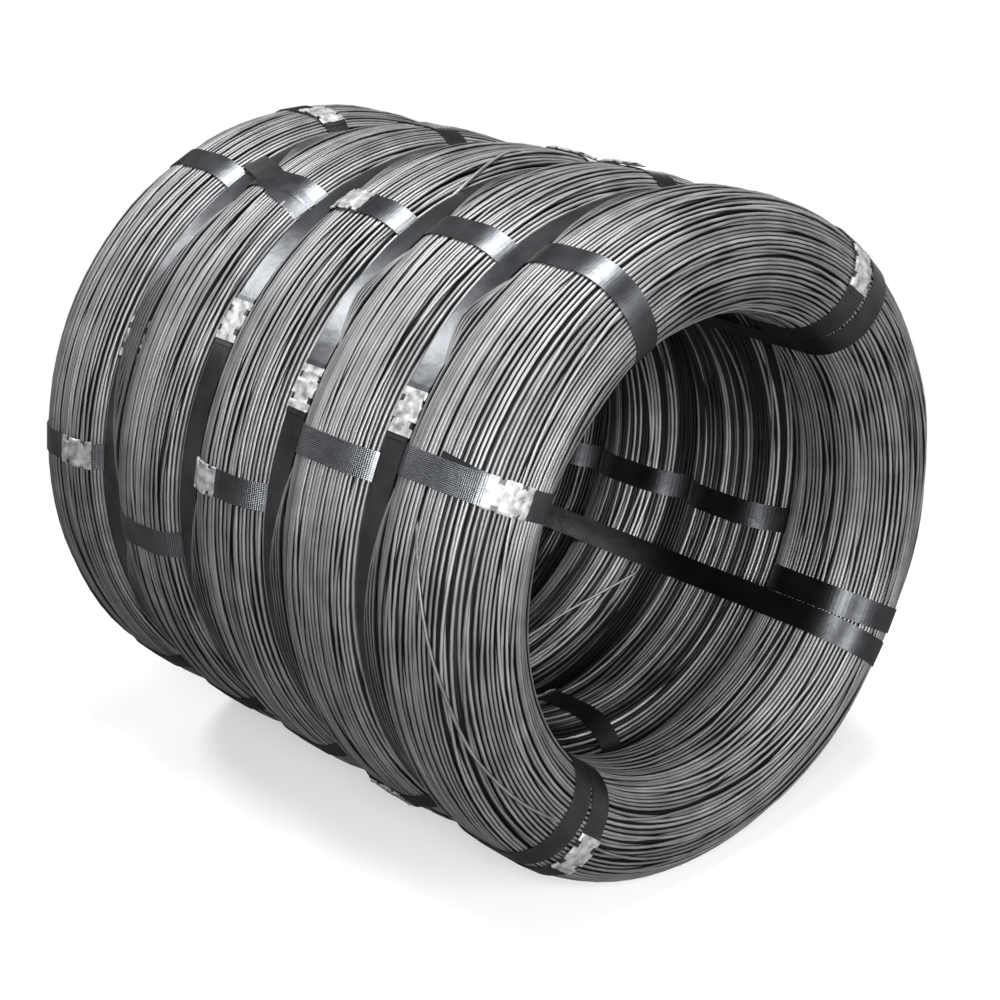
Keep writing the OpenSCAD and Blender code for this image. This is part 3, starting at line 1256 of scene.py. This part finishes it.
@dataclass
class HoopLip:
    """Turns of a coil that have sprung over the edge of the hoop strap behind it, between straps.

    Each rod comes up from the dip beside the hoop, lies on the strap and goes down again. Angles
    along the hoop are in degrees.
    """

    coil: WoundCoil
    rows: int
    seal_angle: float | None = None
    row_pitch: float = 0.0050
    first: float = 0.0640
    rest_r: float = 0.3855
    rest_play: float = 0.0012
    rise: float = 9.0
    rise_play: float = 1.5
    row_lead: float = 4.0
    most_lead: float = 0.46
    shortest: float = 3.0
    strap_room: float = 2.6
    seal_room: float = 5.5
    knot_span: float = 7.0
    sway: float = 0.0011
    row_sway: float = 0.0004
    dip: float = 3.0
    dip_places: tuple[float, float] = (0.0555, 0.0585)
    dip_radii: tuple[float, float] = (0.3810, 0.3846)
    step: float = 2.0

    def stretches(self) -> list[tuple[float, float]]:
        """Gives the stretches between straps, and beside the hoop's seal, in degrees."""
        stops = [(angle, self.strap_room) for angle in TIE_ANGLES[self.coil.number - 1] + THROUGH_ANGLES]
        if self.seal_angle is not None:
            stops.append((self.seal_angle, self.seal_room))
        stops.sort()
        stops.append((stops[0][0] + 360.0, stops[0][1]))
        found = [(a + room, b - space) for (a, room), (b, space) in zip(stops, stops[1:])]
        return [(a, b) for a, b in found if b - a > 2 * self.rise + self.shortest]

    def rods(self) -> list[LooseRod]:
        """Lays the rods of every stretch, row by row."""
        rng = np.random.default_rng(300 + self.coil.number)
        sec = self.coil.section
        rods = []
        for begin, end in self.stretches():
            span = end - begin
            count = max(2, int((span - 2 * self.rise) / self.knot_span))
            sway = rng.normal(0.0, self.sway, count)
            for row in range(self.rows):
                lead = self.rise + rng.uniform(-1.0, 1.0) * self.rise_play + row * self.row_lead
                lead = min(lead, self.most_lead * span)
                angles = (begin, begin + self.dip, *np.linspace(begin + lead, end - lead, count),
                          end - self.dip, end)
                lies = self.first + row * self.row_pitch + sway + rng.normal(0.0, self.row_sway, count)
                rests = self.rest_r + rng.uniform(0.0, self.rest_play, count)
                along = np.array([*self.dip_places, *lies, *self.dip_places[::-1]])
                rho = np.array([*self.dip_radii, *rests, *self.dip_radii[::-1]])
                rise, reach = rho - (sec.outer_r - sec.corner_r), along - sec.half_flat
                place = -(sec.half_flat + sec.corner_r * np.arctan2(reach, rise))
                height = np.hypot(rise, reach) - sec.corner_r
                rods.append(LooseRod(self.coil, angles, tuple(place), tuple(height),
                                     steps=int(span / self.step), sides=6, evening=2))
        return rods


def build_loose(name: str, rods: list[LooseRod], finish: bpy.types.Material) -> None:
    """Joins loose rods into one piece.

    Args:
        name: The piece's name.
        rods: Its rods.
        finish: Finish of the rod.
    """
    verts, faces, tones, base = [], [], [], 0
    for rod in rods:
        points, sides, tone = rod.tube()
        verts.append(points)
        faces.append(sides + base)
        tones.append(tone)
        base += len(points)
    obj = joined_mesh(name, np.concatenate(verts), np.concatenate(faces), np.concatenate(tones))
    obj.data.materials.append(finish)
    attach(obj, "root")
    LOG.info("%s: %d faces", name, len(obj.data.polygons))


def smooth_line(t: np.ndarray, knots: np.ndarray, values: tuple[float, ...], rounds: int) -> np.ndarray:
    """Runs a smooth line through values.

    Args:
        t: Places at which it is wanted.
        knots: Places of the values.
        values: The values.
        rounds: How often it is evened out.

    Returns:
        The line's height at each place.
    """
    line = np.interp(t, knots, values)
    for _ in range(rounds):
        line[1:-1] = line[1:-1] * 0.5 + (line[:-2] + line[2:]) * 0.25
    return line


@dataclass
class Studio:
    """Pale floor, soft lamps and the camera."""

    azimuth: float = -41.95
    elevation: float = 20.34
    distance: float = 2.5274
    lens: float = 73.02
    shift: tuple[float, float] = (0.01834, -0.03397)
    seen_fade: tuple[float, float] = (0.45, 1.3)
    seen_least: float = 0.40
    mirror_fade: tuple[float, float] = (2.0, 8.0)
    dull: Colour = (0.09, 0.09, 0.09)
    pale: Colour = (0.90, 0.90, 0.90)
    floor_size: float = 80.0
    floor_gap: float = 0.0005
    sky: float = 0.05

    def floor(self) -> None:
        """Lays the floor, which fades to plain white away from the bundle."""
        bpy.ops.object.select_all(action="DESELECT")
        bpy.ops.mesh.primitive_plane_add(size=self.floor_size, location=(0.0, 0.0, -self.floor_gap))
        obj = bpy.context.active_object
        obj.name = "floor"
        kit = NodeKit.start("floor_white")
        away = kit.add("VectorMath", {0: kit.place}, "LENGTH").outputs["Value"]
        path = kit.add("LightPath", {}).outputs
        eye = path["Is Camera Ray"]
        mirror = kit.reckon("MAXIMUM", path["Is Glossy Ray"], path["Is Transmission Ray"])
        to_eye = kit.span(away, self.seen_fade, (self.seen_least, 1.0), "SMOOTHSTEP")
        to_mirror = kit.span(away, self.mirror_fade, (0.0, 1.0), "SMOOTHSTEP")
        white = kit.reckon("MAXIMUM", kit.reckon("MULTIPLY", eye, to_eye),
                           kit.reckon("MULTIPLY", mirror, to_mirror))
        tint = kit.add("Mix", {})
        tint.data_type = "RGBA"
        kit.fill(tint, {"A": (*self.dull, 1.0), "B": (*self.pale, 1.0), "Factor": eye})
        kit.coat({"Base Color": tint.outputs["Result"], "Roughness": 0.9, "Specular IOR Level": 0.1})
        glow = kit.add("Emission", {"Strength": 1.0}).outputs["Emission"]
        mix = kit.add("MixShader", {"Fac": white, 1: kit.shader.outputs["BSDF"], 2: glow})
        kit.fill(kit.material.node_tree.nodes["Material Output"], {"Surface": mix.outputs["Shader"]})
        obj.data.materials.append(kit.material)

    def lamp(self, name: str, place: tuple[float, float, float], size: float, power: float) -> None:
        """Hangs one soft lamp that faces the bundle.

        Args:
            name: The lamp's name.
            place: Where it hangs.
            size: Its width, which is its height too.
            power: Its power in watts.
        """
        light = bpy.data.lights.new(name, "AREA")
        light.shape = "RECTANGLE"
        light.size, light.size_y = size, size
        light.energy = power
        obj = bpy.data.objects.new(name, light)
        bpy.context.collection.objects.link(obj)
        obj.location = place
        obj.rotation_euler = to_track(np.array([0.0, 0.0, AXIS_Z]) - np.array(place))

    def build(self) -> None:
        """Sets up the floor, light and camera."""
        self.floor()
        self.lamp("lamp_rear_top", (-1.1, 2.1, 2.5), 0.55, 60.0)
        self.lamp("lamp_top", (-0.3, -0.5, 3.3), 1.3, 178.0)
        self.lamp("lamp_front", (0.3, -3.6, 1.2), 1.4, 112.0)
        self.lamp("lamp_left", (-1.75, -1.95, 1.25), 0.9, 104.0)
        self.lamp("lamp_rear_right", (2.6, 2.0, 0.6), 1.2, 36.0)
        world = bpy.data.worlds.new("studio")
        bpy.context.scene.world = world
        world.use_nodes = True
        back = world.node_tree.nodes["Background"]
        back.inputs["Color"].default_value = (1.0, 1.0, 1.0, 1.0)
        back.inputs["Strength"].default_value = self.sky
        cam = bpy.data.cameras.new("view")
        cam.lens = self.lens
        cam.sensor_width = 36.0
        cam.shift_x, cam.shift_y = self.shift
        obj = bpy.data.objects.new("view", cam)
        bpy.context.collection.objects.link(obj)
        az, el = math.radians(self.azimuth), math.radians(self.elevation)
        back_way = np.array([math.sin(az) * math.cos(el), -math.cos(az) * math.cos(el), math.sin(el)])
        obj.location = back_way * self.distance + np.array([0.0, 0.0, AXIS_Z])
        obj.rotation_euler = (math.pi / 2 - el, 0.0, az)
        bpy.context.scene.camera = obj
        bpy.context.scene.view_settings.view_transform = "Standard"


def to_track(aim: np.ndarray) -> tuple[float, float, float]:
    """Finds the turn that points a lamp's -Z along a direction.

    Args:
        aim: The direction.

    Returns:
        Euler angles.
    """
    flat = math.hypot(aim[0], aim[1])
    return (math.atan2(flat, -aim[2]), 0.0, math.atan2(aim[1], aim[0]) - math.pi / 2)


def dress_straps() -> bpy.types.Material:
    """Gives the strapping its finishes, with the tensioner's marks on the left ties.

    Returns:
        The finish of plain strap.
    """
    plain = StrapFinish().make()
    for obj in bpy.data.objects:
        if obj.type == "MESH" and ("_tie_" in obj.name or "strap" in obj.name):
            obj.data.materials.clear()
            obj.data.materials.append(plain)
    for number in range(1, 6):
        finish = GrippedFinish(f"strap_gripped_{number}", angle=TIE_ANGLES[number - 1][2],
                               centre_y=coil_y(number)).make()
        bpy.data.objects[f"coil_{number}_tie_left"].data.materials[0] = finish
    return plain


def build_seals() -> None:
    """Puts a crimped seal on each strap."""
    finish = SealFinish().make()
    for number in range(1, 6):
        for i, side in enumerate(TIE_SIDES):
            path = StrapPath(Run.TIE, TIE_ANGLES[number - 1][i], coil_y(number))
            node = f"coil_{number}_seal_{side}"
            seal = CrimpedSeal(path, SEAL_PLACES[number - 1][i].value, f"{node}_sleeve", 10 * number + i)
            seal.build(finish, node)
    for i, side in enumerate(TIE_SIDES):
        path = StrapPath(Run.THROUGH, THROUGH_ANGLES[i], 0.0)
        node = f"through_seal_{side}"
        CrimpedSeal(path, THROUGH_SEAL_AT[i] * PITCH, f"{node}_sleeve", 70 + i).build(finish, node)
    for i, angle in enumerate(HOOP_SEAL_ANGLES):
        path = StrapPath(Run.HOOP, angle, (i - 1.5) * PITCH)
        seal = CrimpedSeal(path, 0.0, f"hoop_seal_{i + 1}_sleeve", 80 + i, low=-0.0009, high=0.0029)
        seal.build(finish, "hoop_seals" if i == 0 else None)


def main() -> None:
    """Builds the bundle and its studio in order."""
    logging.basicConfig(level=logging.INFO, format="%(message)s")
    rod, shade = RodFinish().make(), CoreFinish().make()
    strap = dress_straps()
    coils = [WoundCoil(number) for number in range(1, 6)]
    for coil in coils:
        coil.build(rod, shade)
    build_seals()
    build_loose("loose_rod_front", [LooseRod(
        coils[0], (158.0, 167.0, 173.0, 179.2, 187.4, 197.3, 204.5, 211.1, 218.0, 225.0),
        (-0.016, 0.0114, 0.0279, 0.0401, 0.0555, 0.0692, 0.0830, 0.0941, 0.1062, 0.1130),
        (-0.008, -0.001, 0.0016, 0.0024, 0.0024, 0.0024, 0.0024, 0.0024, 0.0010, -0.007), evening=6,
        tone=0.29)], rod)
    build_loose("loose_rod_top", [LooseRod(
        coils[2], (107.0, 103.4, 97.5, 89.8, 81.0), (0.0690, 0.0662, 0.0554, 0.0395, 0.0220),
        (-0.006, 0.0024, 0.0026, 0.0024, -0.007), evening=6)], rod)
    build_loose("loose_rod_bore", [LooseRod(
        coils[2], (268.0, 287.8, 297.3, 309.3, 320.0), (0.246, 0.2333, 0.2217, 0.1968, 0.170),
        (-0.004, 0.0025, 0.0035, 0.0035, 0.0025), tone=0.42)], rod)
    StrapTail("through_strap_left_tail",
              (0.100, 0.118, 0.135, 0.150, 0.180, 0.200, 0.222, 0.244, 0.268),
              (0.3836, 0.3960, 0.4008, 0.4022, 0.4024, 0.4000, 0.3945, 0.3888, 0.3862),
              (119.2, 118.7, 118.1, 117.5, 115.8, 114.6, 113.2, 111.9, 110.7)).build(strap)
    StrapTail("coil_1_tie_left_tail", (-0.331, -0.346, -0.358, -0.370, -0.380, -0.390),
              (0.3999, 0.3999, 0.3989, 0.3955, 0.3897, 0.3816),
              (153.15, 153.35, 153.5, 153.7, 153.85, 154.05)).build(strap)
    for coil, rows in zip(coils, SPRUNG_ROWS):
        seal = HOOP_SEAL_ANGLES[coil.number - 1] if coil.number < 4 else None
        build_loose(f"coil_{coil.number}_sprung_turns", HoopLip(coil, rows, seal).rods(), rod)
    Studio().build()


if __name__ == "__main__":
    main()
